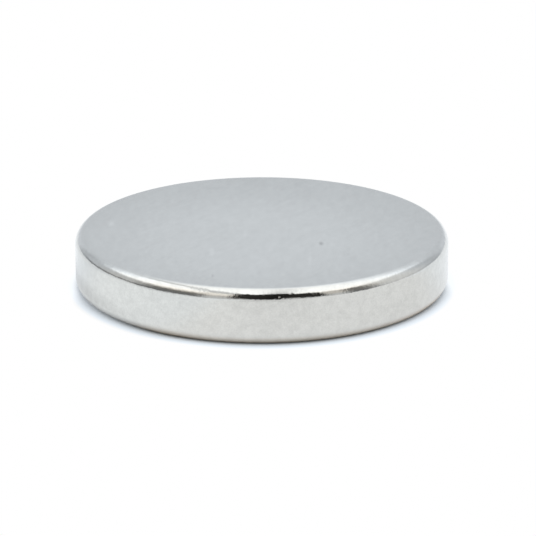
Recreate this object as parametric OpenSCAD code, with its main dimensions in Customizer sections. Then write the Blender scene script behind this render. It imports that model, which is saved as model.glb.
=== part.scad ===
// Disc magnet.
// One flat round block of pressed and sintered rare-earth alloy, ground flat on its two pole
// faces, tumbled until its edges are round, and plated all over with bright nickel.
// It is magnetised through its thickness, so the two flat faces are its poles.
// The origin is the centre of the lower pole face, and +Z runs along the disc's axis.

/* [Disc] */
// Diameter across the side
disc_d = 20; // [8:0.5:60]
// Thickness from one pole face to the other
disc_t = 3; // [2:0.1:10]

/* [Edges] */
// Radius that tumbling leaves round the upper edge
upper_edge_r = 0.55; // [0.1:0.05:0.9]
// Radius that tumbling leaves round the lower edge
lower_edge_r = 0.55; // [0.1:0.05:0.9]

/* [Hidden] */
$fn = 180;

disc_r = disc_d / 2;
// The straight part of the side runs between these two heights
side_bottom_z = lower_edge_r;
side_top_z = disc_t - upper_edge_r;

// A band of the half section: from the axis out to reach, between two heights
module band(from_z, to_z, reach) {
    translate([0, from_z]) square([reach, to_z - from_z]);
}

// A quarter of a disc of radius r, with its square corner at the origin
module quarter_round(r) {
    intersection() {
        circle(r = r);
        square(2 * r);
    }
}

// Half of the magnet cut through its axis, with the axis at x = 0
module half_section() {
    band(0, side_bottom_z, disc_r - lower_edge_r);
    band(side_bottom_z, side_top_z, disc_r);
    band(side_top_z, disc_t, disc_r - upper_edge_r);
    translate([disc_r - lower_edge_r, side_bottom_z]) mirror([0, 1]) quarter_round(lower_edge_r);
    translate([disc_r - upper_edge_r, side_top_z]) quarter_round(upper_edge_r);
}

// The whole magnet, a single piece
module disc_magnet() {
    color([0.77, 0.78, 0.78]) rotate_extrude() half_section();
}

disc_magnet();
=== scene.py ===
import math
import bmesh
import bpy
from mathutils import Matrix, Vector, noise


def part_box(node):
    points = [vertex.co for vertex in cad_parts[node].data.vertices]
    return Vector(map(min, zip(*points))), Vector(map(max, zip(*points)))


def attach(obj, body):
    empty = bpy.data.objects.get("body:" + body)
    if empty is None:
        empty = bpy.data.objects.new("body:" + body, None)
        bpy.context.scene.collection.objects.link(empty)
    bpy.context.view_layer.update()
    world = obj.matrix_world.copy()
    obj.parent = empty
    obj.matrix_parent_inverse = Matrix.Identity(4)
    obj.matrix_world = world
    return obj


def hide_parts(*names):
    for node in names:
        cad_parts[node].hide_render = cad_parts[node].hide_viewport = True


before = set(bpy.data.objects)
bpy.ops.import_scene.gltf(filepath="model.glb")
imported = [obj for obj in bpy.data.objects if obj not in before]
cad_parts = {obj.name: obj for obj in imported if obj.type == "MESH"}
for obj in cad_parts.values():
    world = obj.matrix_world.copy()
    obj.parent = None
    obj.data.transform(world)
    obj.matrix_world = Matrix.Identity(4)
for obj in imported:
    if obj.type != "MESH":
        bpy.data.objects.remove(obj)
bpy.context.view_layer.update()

# ---------------------------------------------------------------------------------------------
# The disc
# One block of sintered rare-earth alloy, ground flat on both faces and tumbled until its edges
# are round, then plated with bright nickel. The plating follows every hollow that is left, so
# the disc is turned as thin rings, let down there by up to about a hundredth of a millimetre.
MM = 0.001
disc_low, disc_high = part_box("disc_magnet")
disc_radius = (disc_high.x - disc_low.x) / 2
disc_bottom, disc_top = disc_low.z, disc_high.z
# Tumbling has worn the upper edge further down the side than in over the face
edge_in, edge_down = 0.54 * MM, 0.6 * MM
lower_edge = 0.6 * MM

# A ring has most points from half the disc's radius on, and fewer and fewer further in
MOST_POINTS, FEWEST_POINTS = 960, 60
UPPER_EDGE_RINGS, SIDE_RINGS, LOWER_EDGE_RINGS = 20, 16, 14
UPPER_FACE_STEP, LOWER_FACE_STEP = 0.3 * MM, 0.6 * MM
MARK_STEP = 0.08 * MM
# Beside a rounded edge stands a close ring, so that the flat stays flat right up to it
FLAT_GUARD = 0.02 * MM

# In the upper face are two pores that the plating has not filled, and four shallow dents from
# tumbling. Each is an oval: where its middle is, its half sizes and its depth, in millimetres,
# and how much darker than the face it is. The dents are a little lighter. Up and down, a mark's
# colour stops well short of the lower face.
MARK_HALF_HEIGHT = 1.0
face_marks = [
    (Vector((x * MM, y * MM, disc_top)), Vector((wide, long, MARK_HALF_HEIGHT)) * MM, deep * MM, darker)
    for x, y, wide, long, deep, darker in (
        (3.15, -2.31, 0.16, 0.42, 0.010, 0.29),
        (-2.54, -7.55, 0.11, 0.34, 0.003, 0.11),
        (-8.11, 1.17, 0.22, 0.60, 0.002, -0.11),
        (-2.63, -3.70, 0.14, 0.80, 0.001, -0.07),
        (-0.88, -0.70, 0.11, 0.80, 0.001, -0.05),
        (2.52, -5.05, 0.12, 0.85, 0.001, -0.06),
    )
]
# The first three are deep enough to need closer rings
deeper_marks = face_marks[:3]

# The nick in the upper edge, a little right of the front. Its middle and its half sizes are
# angles in radians: round the disc, and of the surface's tilt.
nick_turn, nick_half_turn = math.radians(5.15), 0.0058
nick_tilt, nick_half_tilt = 0.37, 0.15
nick_depth = 0.024 * MM
# Over this angle beside the nick, the points of a ring stand up to four times closer
CLOSE_ANGLE, CLOSENESS = 0.05, 0.75

# What grinding and tumbling leave: how far across the hollows are, and how deep
FACE_HOLLOWS = 2.2 * MM, 0.0010 * MM
SIDE_HOLLOWS = 0.6 * MM, 0.0019 * MM
EDGE_HOLLOWS = 0.7 * MM, 0.008 * MM
EDGE_RIPPLES = 0.22 * MM, 0.003 * MM


def spread(start, end, steps):
    """Evenly spaced numbers after start, up to and with end."""
    return [start + (end - start) * i / steps for i in range(1, steps + 1)]


def face_reaches(edge, step, marks=()):
    """How far from the axis the rings of a flat face lie, from the inside out."""
    flat_reach = disc_radius - edge
    even = spread(0, flat_reach - FLAT_GUARD, round(flat_reach / step))
    # The rings stand closer where they cross a mark
    close = set()
    for centre, size, _, _ in marks:
        out = centre.xy.normalized()
        half = math.hypot(size.x * out.x, size.y * out.y)
        first = math.floor((centre.xy.length - half) / MARK_STEP)
        last = math.ceil((centre.xy.length + half) / MARK_STEP)
        close.update(i * MARK_STEP for i in range(first, last + 1))
    clear = [r for r in even if all(abs(r - c) > MARK_STEP / 2 for c in close)]
    return sorted(clear + list(close))


def section():
    """Points down half a section of the disc: reach, height, and how far the surface tilts up."""
    quarter = math.pi / 2

    def edge_point(t, inwards, downwards, middle):
        tilt = math.atan2(math.sin(t) / downwards, math.cos(t) / inwards)
        return disc_radius - inwards * (1 - math.cos(t)), middle + downwards * math.sin(t), tilt

    side_top, side_bottom = disc_top - edge_down, disc_bottom + lower_edge
    points = [(r, disc_top, quarter) for r in face_reaches(edge_in, UPPER_FACE_STEP, deeper_marks)]
    for t in [quarter] + spread(quarter, 0, UPPER_EDGE_RINGS):
        points.append(edge_point(t, edge_in, edge_down, side_top))
    first, last = side_top - FLAT_GUARD, side_bottom + FLAT_GUARD
    points += [(disc_radius, z, 0) for z in [first] + spread(first, last, SIDE_RINGS)]
    for t in [0] + spread(0, -quarter, LOWER_EDGE_RINGS):
        points.append(edge_point(t, lower_edge, lower_edge, side_bottom))
    inwards = reversed(face_reaches(lower_edge, LOWER_FACE_STEP))
    points += [(r, disc_bottom, -quarter) for r in inwards]
    return points


def hollow(place, size, depth):
    """How deep soft hollows about that far across are at this place."""
    return depth * (0.5 + 0.5 * noise.noise(place / size))


def oval(*off):
    """Depth, from 0 to 1, of a round-bottomed mark, from offsets in half sizes."""
    reach = sum(o * o for o in off)
    return (1 - reach) ** 2 if reach < 1 else 0


def let_down(place, tilt):
    """How far the plated surface lies below its true form at this place."""
    side = math.cos(tilt) ** 2
    edge = math.sin(2 * tilt) ** 2
    depth = hollow(place, *FACE_HOLLOWS) + side * hollow(place, *SIDE_HOLLOWS)
    depth += edge * (hollow(place, *EDGE_HOLLOWS) + hollow(place, *EDGE_RIPPLES))
    if place.z > disc_top - FLAT_GUARD:
        for centre, size, deep, _ in face_marks:
            depth += deep * oval((place.x - centre.x) / size.x, (place.y - centre.y) / size.y)
    turn = math.atan2(place.x, -place.y)
    nick = oval((turn - nick_turn) / nick_half_turn, (tilt - nick_tilt) / nick_half_tilt)
    return depth + nick_depth * nick


def ring_of_points(mesh, reach, height, tilt):
    # Each time the reach halves, so do the points
    count = MOST_POINTS
    while reach < disc_radius / 2 * count / MOST_POINTS and count > FEWEST_POINTS:
        count //= 2
    ring = []
    for i in range(count):
        turn = 2 * math.pi * i / count
        off = turn - nick_turn
        turn -= CLOSENESS * off * math.exp(-(off / CLOSE_ANGLE) ** 2)
        out = Vector((math.sin(turn), -math.cos(turn), 0))
        place = out * reach + Vector((0, 0, height))
        normal = out * math.cos(tilt) + Vector((0, 0, math.sin(tilt)))
        ring.append(mesh.verts.new(place - normal * let_down(place, tilt)))
    return ring


def join(mesh, upper, lower):
    """Faces between two rings. Where one has half as many points, a triangle takes up each step."""
    flip = len(upper) > len(lower)
    fewer, more = (lower, upper) if flip else (upper, lower)
    step = len(more) // len(fewer)
    for i, point in enumerate(fewer):
        following = fewer[(i + 1) % len(fewer)]
        run = [more[(i * step + k) % len(more)] for k in range(step + 1)]
        faces = [(point, run[-2], run[-1], following)]
        if step > 1:
            faces.insert(0, (point, run[0], run[1]))
        for face in faces:
            mesh.faces.new(reversed(face) if flip else face).smooth = True


def turned_disc():
    mesh = bmesh.new()
    rings = [ring_of_points(mesh, reach, height, tilt) for reach, height, tilt in section()]
    for upper, lower in zip(rings, rings[1:]):
        join(mesh, upper, lower)
    # The innermost rings close on a point in the middle of each face
    for ring, height, up in ((rings[0], disc_top, 1), (rings[-1], disc_bottom, -1)):
        place = Vector((0, 0, height))
        middle = mesh.verts.new(place - Vector((0, 0, up * let_down(place, up * math.pi / 2))))
        for i, point in enumerate(ring):
            face = (middle, point, ring[(i + 1) % len(ring)])
            mesh.faces.new(face if up > 0 else reversed(face)).smooth = True
    data = bpy.data.meshes.new("plated_disc")
    mesh.to_mesh(data)
    mesh.free()
    piece = bpy.data.objects.new("plated_disc", data)
    bpy.context.scene.collection.objects.link(piece)
    return piece


class Shade:
    """A socket in a node tree. Sums, products and the like of values add their Math nodes."""

    def __init__(self, tree, socket=None):
        self.tree = tree
        self.socket = socket

    @classmethod
    def start(cls, holder):
        """Empties the nodes of a material or world, and gives what its first node comes from."""
        holder.use_nodes = True
        holder.node_tree.nodes.clear()
        return cls(holder.node_tree)

    def node(self, kind, settings=None, inputs=None, output=0):
        """Adds a node: its settings first, then its sockets' values or links, by name or place."""
        made = self.tree.nodes.new(kind)
        for name, value in (settings or {}).items():
            setattr(made, name, value)
        for name, value in (inputs or {}).items():
            if isinstance(name, int):
                socket = made.inputs[name]
            else:
                socket = next(s for s in made.inputs if s.name == name and s.enabled)
            if isinstance(value, Shade):
                self.tree.links.new(value.socket, socket)
            else:
                socket.default_value = value
        return Shade(self.tree, made.outputs[output]) if len(made.outputs) else made

    def maths(self, operation, *others):
        return self.node("ShaderNodeMath", {"operation": operation}, dict(enumerate((self, *others))))

    def vectors(self, operation, *others, output="Vector"):
        inputs = dict(enumerate((self, *others)))
        return self.node("ShaderNodeVectorMath", {"operation": operation}, inputs, output)

    def parts(self):
        """A vector's x, y and z."""
        split = self.node("ShaderNodeSeparateXYZ", None, {"Vector": self}).socket.node
        return [Shade(self.tree, socket) for socket in split.outputs]

    def __add__(self, other):
        return self.maths("ADD", other)

    __radd__ = __add__

    def __sub__(self, other):
        return self.maths("SUBTRACT", other)

    def __rsub__(self, other):
        return self.node("ShaderNodeMath", {"operation": "SUBTRACT"}, {0: other, 1: self})

    def __mul__(self, other):
        return self.maths("MULTIPLY", other)

    __rmul__ = __mul__

    def __truediv__(self, other):
        return self.maths("DIVIDE", other)

    def __rtruediv__(self, other):
        return self.node("ShaderNodeMath", {"operation": "DIVIDE"}, {0: other, 1: self})

    def between(self, start, end):
        """0 at start and before, 1 at end and after, and a soft rise from one to the other."""
        return self.node("ShaderNodeMapRange", {"interpolation_type": "SMOOTHSTEP"},
                         {"Value": self, "From Min": start, "From Max": end})

    def blend(self, first, second):
        """The first colour where this value is 0 and the second where it is 1."""
        return self.node("ShaderNodeMix", {"data_type": "RGBA"},
                         {"Factor": self, "A": first, "B": second}, output=2)


NICKEL, BLACK = (0.708, 0.716, 0.694, 1), (0, 0, 0, 1)
BUMP_HEIGHT = 0.004 * MM
# A mark's colour reaches to this many times its size
MARK_REACH = 1.2


def nickel_plate():
    """Bright nickel: clouded on the ground faces, with painted shade towards their rims, hammered on the
    side.
    """
    material = bpy.data.materials.new("bright_nickel")
    start = Shade.start(material)
    place = start.node("ShaderNodeTexCoord", output="Object")

    def cloud(size, detail, roughness, stretch=(1, 1, 1), turn=0.0):
        """Soft spots about that far across, drawn out along each axis by the stretch."""
        at = start.node("ShaderNodeMapping", {"vector_type": "TEXTURE"},
                        {"Vector": place, "Rotation": (0, 0, turn), "Scale": stretch})
        return start.node("ShaderNodeTexNoise", None,
                          {"Vector": at, "Scale": 1 / size, "Detail": detail, "Roughness": roughness})

    def oval_mark(centre, size):
        """1 in the middle of a mark and 0 from its edge on."""
        off = place.vectors("SUBTRACT", centre).vectors("DIVIDE", size)
        return 1 - off.vectors("LENGTH", output="Value").between(0, 1)

    # The two faces, the rounded edges and the side, told apart by how far the surface faces up
    upness = start.node("ShaderNodeNewGeometry", output="Normal").parts()[2].maths("ABSOLUTE")
    face = upness.between(0.8, 1.0)
    edge = upness.between(0.03, 0.3) * (1 - face)
    side = 1 - upness.between(0.0, 0.25)
    # Within a few millimetres of this point, a little off the axis, the faces have no painted shade
    painted_shade_centre = (-0.7 * MM, -2 * MM, disc_top)
    from_painted_shade_centre = place.vectors("DISTANCE", painted_shade_centre, output="Value")

    # Haze all over, a grain and slanting polishing lines on the faces, speckle on the edges and
    # side, and pepper as fine as dust on the side
    haze = cloud(2.6 * MM, 4.0, 0.6, (1, 2, 1)).between(0.3, 0.7)
    grain = cloud(0.40 * MM, 4.0, 0.78, (1, 3, 1)).between(0.25, 0.75)
    polish = cloud(0.14 * MM, 2.0, 0.5, (1, 14, 1), math.radians(-35)).between(0.25, 0.75)
    speckle = cloud(0.45 * MM, 4.0, 0.72).between(0.25, 0.75)
    pepper = cloud(0.08 * MM, 1.0, 0.5).between(0.25, 0.75)
    dullness_and_painted_shade = haze * (0.022 + side * 0.014) + (pepper - 0.7) * side * 0.055
    dullness_and_painted_shade = dullness_and_painted_shade + speckle * 0.115 * (1 - face) + (grain * 0.062 + polish * 0.022) * face
    # Painted shade: each face is darker towards its rim, away from that middle
    dullness_and_painted_shade = dullness_and_painted_shade + from_painted_shade_centre.between(3 * MM, 11.5 * MM) * upness.between(0.75, 0.98) * 0.125
    for centre, size, _, darker in face_marks:
        dullness_and_painted_shade = dullness_and_painted_shade + oval_mark(centre, size * MARK_REACH) * darker

    # The edges are polished brightest, and the ground faces least
    roughness = 0.10 + haze * 0.03 + face * 0.14 - edge * 0.035
    hammered = cloud(0.17 * MM, 3.0, 0.62) * (0.75 + edge * 1.2 - face * 0.6 + side * 1.2)
    bump = start.node("ShaderNodeBump", None,
                      {"Strength": 1.0, "Distance": BUMP_HEIGHT, "Height": hammered})
    plate = start.node("ShaderNodeBsdfPrincipled", None, {
        "Base Color": dullness_and_painted_shade.blend(NICKEL, BLACK), "Metallic": 1.0, "Roughness": roughness,
        "Normal": bump})
    start.node("ShaderNodeOutputMaterial", None, {"Surface": plate})
    return material


plated_disc = turned_disc()
plated_disc.data.materials.append(nickel_plate())
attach(plated_disc, "root")
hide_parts("disc_magnet")

# ---------------------------------------------------------------------------------------------
# The table
# A sheet of matt white paper that the disc lies on. Away from the disc it shows white, to the
# eye and in the disc's own reflections, and close round the disc it keeps the disc's shadow.
PAPER_HALF_WIDTH = 2000 * MM
# How far from the disc's middle its shadow, the shadow's fringe and the painted shade on the paper close
# by fade out
shadow_from, shadow_to = disc_radius - 0.50 * MM, disc_radius + 0.52 * MM
fringe_from, fringe_to = disc_radius + 0.2 * MM, disc_radius + 0.5 * MM
near_from, near_to = disc_radius + 0.8 * MM, disc_radius + 2.6 * MM
WHITE = (1, 1, 1, 1)
# The paper in shadow: in the disc's reflection, in front and behind, and to the eye
WARM_SHADE, COOL_SHADE = (0.90, 0.82, 0.74, 1), (0.84, 0.86, 0.90, 1)
SEEN_SHADE = (0.80, 0.86, 0.92, 1)
# The lit paper in the disc's reflection: in front, at the left front, behind and far behind
FRONT_LIT, LEFT_LIT = (1.0, 1.02, 1.045, 1), (1.13, 1.155, 1.17, 1)
BACK_LIT, FAR_BACK_LIT = (0.97, 1.01, 1.05, 1), (1.04, 1.07, 1.10, 1)
# The shadow's fringe to the eye, in front and behind
FRONT_FRINGE, BACK_FRINGE = (0.93, 1.0, 1.07, 1), (0.975, 1.0, 1.02, 1)
# How much of the paper's whiteness shows in the disc's reflection. To the eye all of it does.
MIRRORED_WHITE = 0.8


def white_paper():
    material = bpy.data.materials.new("white_paper")
    start = Shade.start(material)
    place = start.node("ShaderNodeTexCoord", output="Object")
    reach = place.vectors("LENGTH", output="Value")
    rightwards, backwards, _ = place.parts()
    leftwards, forwards = rightwards * -1, backwards * -1
    seen = start.node("ShaderNodeLightPath", output="Is Camera Ray")
    glossy = start.node("ShaderNodeLightPath", output="Is Glossy Ray")
    mirrored = glossy.maths("MAXIMUM", start.node("ShaderNodeLightPath", output="Is Transmission Ray"))

    # In the disc's reflection the light from the left falls in front, and it is bluer behind
    behind = backwards.between(-5 * MM, 2 * MM)
    far_back = backwards.between(2.5 * MM, 5.5 * MM).maths("MAXIMUM", rightwards.between(4 * MM, 10 * MM))
    left = leftwards.between(1.5 * MM, 8 * MM) * 0.7 + leftwards.between(8 * MM, 16 * MM) * 0.3
    lit = behind.blend(FRONT_LIT, far_back.blend(BACK_LIT, FAR_BACK_LIT))
    lit = (left * (1 - behind)).blend(lit, LEFT_LIT)
    # Painted shade: in the disc's reflection the paper is darker close beside the disc at the left, far
    # out at the left, and far out in front
    near = reach + backwards.between(-1.5 * MM, 2.5 * MM) * 0.6 * MM
    near = 1 - near.between(near_from, near_to)
    beside = leftwards.between(7.5 * MM, 12 * MM) * near * 0.27
    far_left = leftwards.between(8 * MM, 24 * MM) * reach.between(14 * MM, 32 * MM)
    far_left = far_left * (0.12 + forwards.between(4 * MM, 14 * MM) * 0.2)
    before = forwards.between(14 * MM, 22 * MM) * 0.2 + forwards.between(30 * MM, 70 * MM) * 0.15
    before = before * (1 - rightwards.maths("ABSOLUTE").between(3 * MM, 8 * MM))
    lit = (beside + far_left + before).blend(lit, BLACK)
    # To the eye it is white, and bluer in the shadow's fringe
    past_fringe = reach.between(fringe_from, fringe_to)
    lit = seen.blend(lit, past_fringe.blend(behind.blend(FRONT_FRINGE, BACK_FRINGE), WHITE))

    # The shadow is narrower at the sides and behind. At the left it is paler, and wider in front.
    at_left = leftwards.between(2.5 * MM, 7 * MM)
    narrower = (backwards + at_left * 1.5 * MM).between(-2.5 * MM, 0.5 * MM)
    start_at = shadow_from + backwards.between(-7 * MM, -3 * MM) * 0.14 * MM + at_left * 0.13 * MM
    end_at = shadow_to - narrower * 0.42 * MM + at_left * 0.15 * MM
    dark = (1 - reach.between(start_at, end_at)) * (1 - leftwards.between(5 * MM, 10 * MM) * 0.13)
    cool = behind.maths("MAXIMUM", leftwards.between(4.5 * MM, 8 * MM))
    shade = seen.blend(cool.blend(WARM_SHADE, COOL_SHADE), SEEN_SHADE)

    lift = seen.maths("MAXIMUM", mirrored * MIRRORED_WHITE) * (1 - dark)
    matt = start.node("ShaderNodeBsdfDiffuse", None, {"Color": shade})
    white = start.node("ShaderNodeEmission", None, {"Color": lit, "Strength": 1.0})
    paper = start.node("ShaderNodeMixShader", None, {0: lift, 1: matt, 2: white})
    start.node("ShaderNodeOutputMaterial", None, {"Surface": paper})
    return material


paper_corners = [
    (x * PAPER_HALF_WIDTH, y * PAPER_HALF_WIDTH, disc_bottom)
    for x, y in ((-1, -1), (1, -1), (1, 1), (-1, 1))
]
paper_mesh = bpy.data.meshes.new("paper")
paper_mesh.from_pydata(paper_corners, [], [(0, 1, 2, 3)])
paper_mesh.materials.append(white_paper())
paper = bpy.data.objects.new("paper", paper_mesh)
bpy.context.scene.collection.objects.link(paper)

# ---------------------------------------------------------------------------------------------
# The studio
# A white tent with a bright ceiling and bright upper walls. Low down the walls are greyer, their
# front corners are in shade, and in front, where the camera stands, the tent is open to a dark room.
WALL_LEVEL, CEILING_LEVEL = 0.68, 1.5
# How far the flap is from the wall's level to the ceiling's
FLAP_BRIGHTNESS = 0.48
# How much of the light the darker parts take away
SEAM_SHADE, CORNER_SHADE, OPENING_SHADE = 0.48, 0.7, 0.96
# The colour of the light low down, from behind, and half way up in front. High up it is white.
LOW_LIGHT = (0.980, 0.978, 0.978, 1)
COOL_LIGHT = (0.934, 0.976, 1.040, 1)
WARM_LIGHT = (1.045, 0.985, 0.915, 1)


def studio():
    world = bpy.data.worlds.new("studio")
    start = Shade.start(world)
    across, along, up = start.node("ShaderNodeTexCoord", output="Generated").parts()
    # Degrees above the table, and degrees round from the front, with the right positive
    rise = up.maths("ARCSINE").maths("DEGREES")
    turn = across.maths("ARCTAN2", along * -1).maths("DEGREES")
    aside = turn.maths("ABSOLUTE")
    on_right = turn.between(-20, 20)
    # How far right and forward a place on the ceiling is, for each unit of its height
    height = up.maths("MAXIMUM", 0.02)
    right, forward = across / height, along * -1 / height

    # The walls: grey at the sides, paler behind, and brighter with height
    wall = WALL_LEVEL + aside.between(125, 160) * 0.12 + aside.between(160, 178) * 0.01
    wall = wall + rise.between(20, 45) * 0.1 + rise.between(40, 80) * 0.55
    wall = wall + turn.between(60, 85) * (1 - turn.between(105, 125)) * 0.16
    # The bright upper walls at both sides start at a height that varies round the tent
    panel_rise = rise + 3.5 - turn.between(-105, -62) * 6.5 - on_right * 7
    panel_rise = panel_rise - turn.between(46, 64) * 8.5 + turn.between(78, 101) * 12
    panel = aside.between(36, 46) * (1 - (aside - on_right * 15).between(108, 140))
    panel = panel * panel_rise.between(29, 41)
    # The ceiling runs further back over the middle, and a boom hangs below it
    boom = right.between(0.02, 0.08) * (1 - (right - forward * 0.18).between(0.15, 0.22))
    front_edge = forward + 0.03 + boom * 0.15 - turn.between(-14, -3) * 0.13 + turn.between(25, 38) * 0.09
    run_back = 1.2 + right.between(-0.3, -0.15) * 0.4 - right.between(-0.08, 0) * 0.3
    run_back = run_back + right.between(0.08, 0.2) * 1.1 - right.between(0.24, 0.42) * 0.9
    ceiling = (1 - front_edge.between(0.64, 0.76)) * forward.between(run_back * -1, -0.2)
    ceiling = ceiling * (1 - right.maths("ABSOLUTE").between(0.9, 1.3))
    # The flap at the left of the opening is pale above and greyer below
    flap = turn.between(-40, -34) * (1 - turn.between(-20.5, -18.8)) * rise.between(21, 36)
    flap = flap * FLAP_BRIGHTNESS
    bright = panel.maths("MAXIMUM", ceiling).maths("MAXIMUM", flap)
    level = wall + bright * (CEILING_LEVEL - wall)
    # The seam between the left wall and the ceiling is widest towards the front
    back = (forward * -1).between(0.0, 0.5)
    seam = (right + 0.40 + back * 0.05).maths("ABSOLUTE")
    seam = 1 - (seam - forward.between(0, 0.8) * 0.15 - back * 0.05).between(0.02, 0.09)
    seam = seam * (1 - forward.between(0.72, 0.82)) * forward.between(-1.0, -0.5) * (1 - back * 0.2)
    boom = boom * forward.between(-2.4, -1.2)
    level = level * (1 - seam * SEAM_SHADE) * (1 - boom * (0.26 + forward.between(0.05, 0.55) * 0.17))
    # The front corners in shade, and the walls' foot
    left_shade = (1 - turn.between(-39, -34)) * turn.between(-92, -64) * (1 - rise.between(23, 32))
    right_shade = turn.between(50, 56) * (1 - turn.between(64, 82)) * (1 - rise.between(32, 46))
    corner_shade = left_shade.maths("MAXIMUM", right_shade) * CORNER_SHADE
    foot = aside.between(60, 75) * (1 - aside.between(126, 143))
    foot = foot * rise.between(0.5, 2.5) * (1 - rise.between(6, 10))
    level = level * (1 - corner_shade) * (1 - foot * (0.60 - on_right * 0.46))
    # The back corners, where the walls fold
    fold = aside + on_right * 9
    fold = fold.between(131, 139) * (1 - fold.between(141, 152)) * (1 - rise.between(22, 32))
    level = level * (1 - fold * (0.16 - on_right * 0.05))
    # The open front, above a low sill that is higher towards the right
    sill = 2.7 + turn.between(11, 14) * 8 - turn.between(18, 26) * 5 + (1 - turn.between(-12, -4)) * 3
    opening = turn.between(-20, -18.3) * (1 - turn.between(38.5, 41))
    opening = opening * front_edge.between(0.67, 0.73) * (rise - sill).between(0, 5)
    level = level * (1 - opening * OPENING_SHADE)

    tint = rise.between(20, 60).blend(LOW_LIGHT, WHITE)
    tint = (aside.between(95, 128) * (1 - rise.between(40, 70))).blend(tint, COOL_LIGHT)
    warm = (1 - aside.between(58, 98)) * rise.between(8, 26) * (1 - rise.between(36, 60))
    tint = warm.blend(tint, WARM_LIGHT)
    tent = start.node("ShaderNodeBackground", None, {"Color": tint, "Strength": level})
    white = start.node("ShaderNodeBackground", None, {"Color": WHITE, "Strength": 1.0})
    seen = start.node("ShaderNodeLightPath", output="Is Camera Ray")
    light = start.node("ShaderNodeMixShader", None, {0: seen, 1: tent, 2: white})
    start.node("ShaderNodeOutputWorld", None, {"Surface": light})
    return world


bpy.context.scene.world = studio()

# ---------------------------------------------------------------------------------------------
# The camera
# A long lens 200 mm in front of the disc, looking down at it at about 19 degrees. It is set by
# hand, so it leans over by a twentieth of a degree.
CAMERA_DISTANCE = 200 * MM
CAMERA_RISE, CAMERA_ROLL = math.radians(18.94), math.radians(-0.05)
LENS, SENSOR_WIDTH = 249.4, 36
NEAREST, FURTHEST = 10 * MM, 20000 * MM
aim = Vector((0.332, 0.27, 0.764)) * MM

camera_data = bpy.data.cameras.new("camera")
camera_data.sensor_width = SENSOR_WIDTH
camera_data.lens = LENS
camera_data.clip_start, camera_data.clip_end = NEAREST, FURTHEST
camera = bpy.data.objects.new("camera", camera_data)
camera.location = Vector((0, -math.cos(CAMERA_RISE), math.sin(CAMERA_RISE))) * CAMERA_DISTANCE
looking = (aim - camera.location).to_track_quat("-Z", "Y").to_matrix().to_4x4()
camera.rotation_euler = (looking @ Matrix.Rotation(CAMERA_ROLL, 4, "Z")).to_euler()
bpy.context.scene.collection.objects.link(camera)
bpy.context.scene.camera = camera
bpy.context.scene.view_settings.view_transform = "Standard"
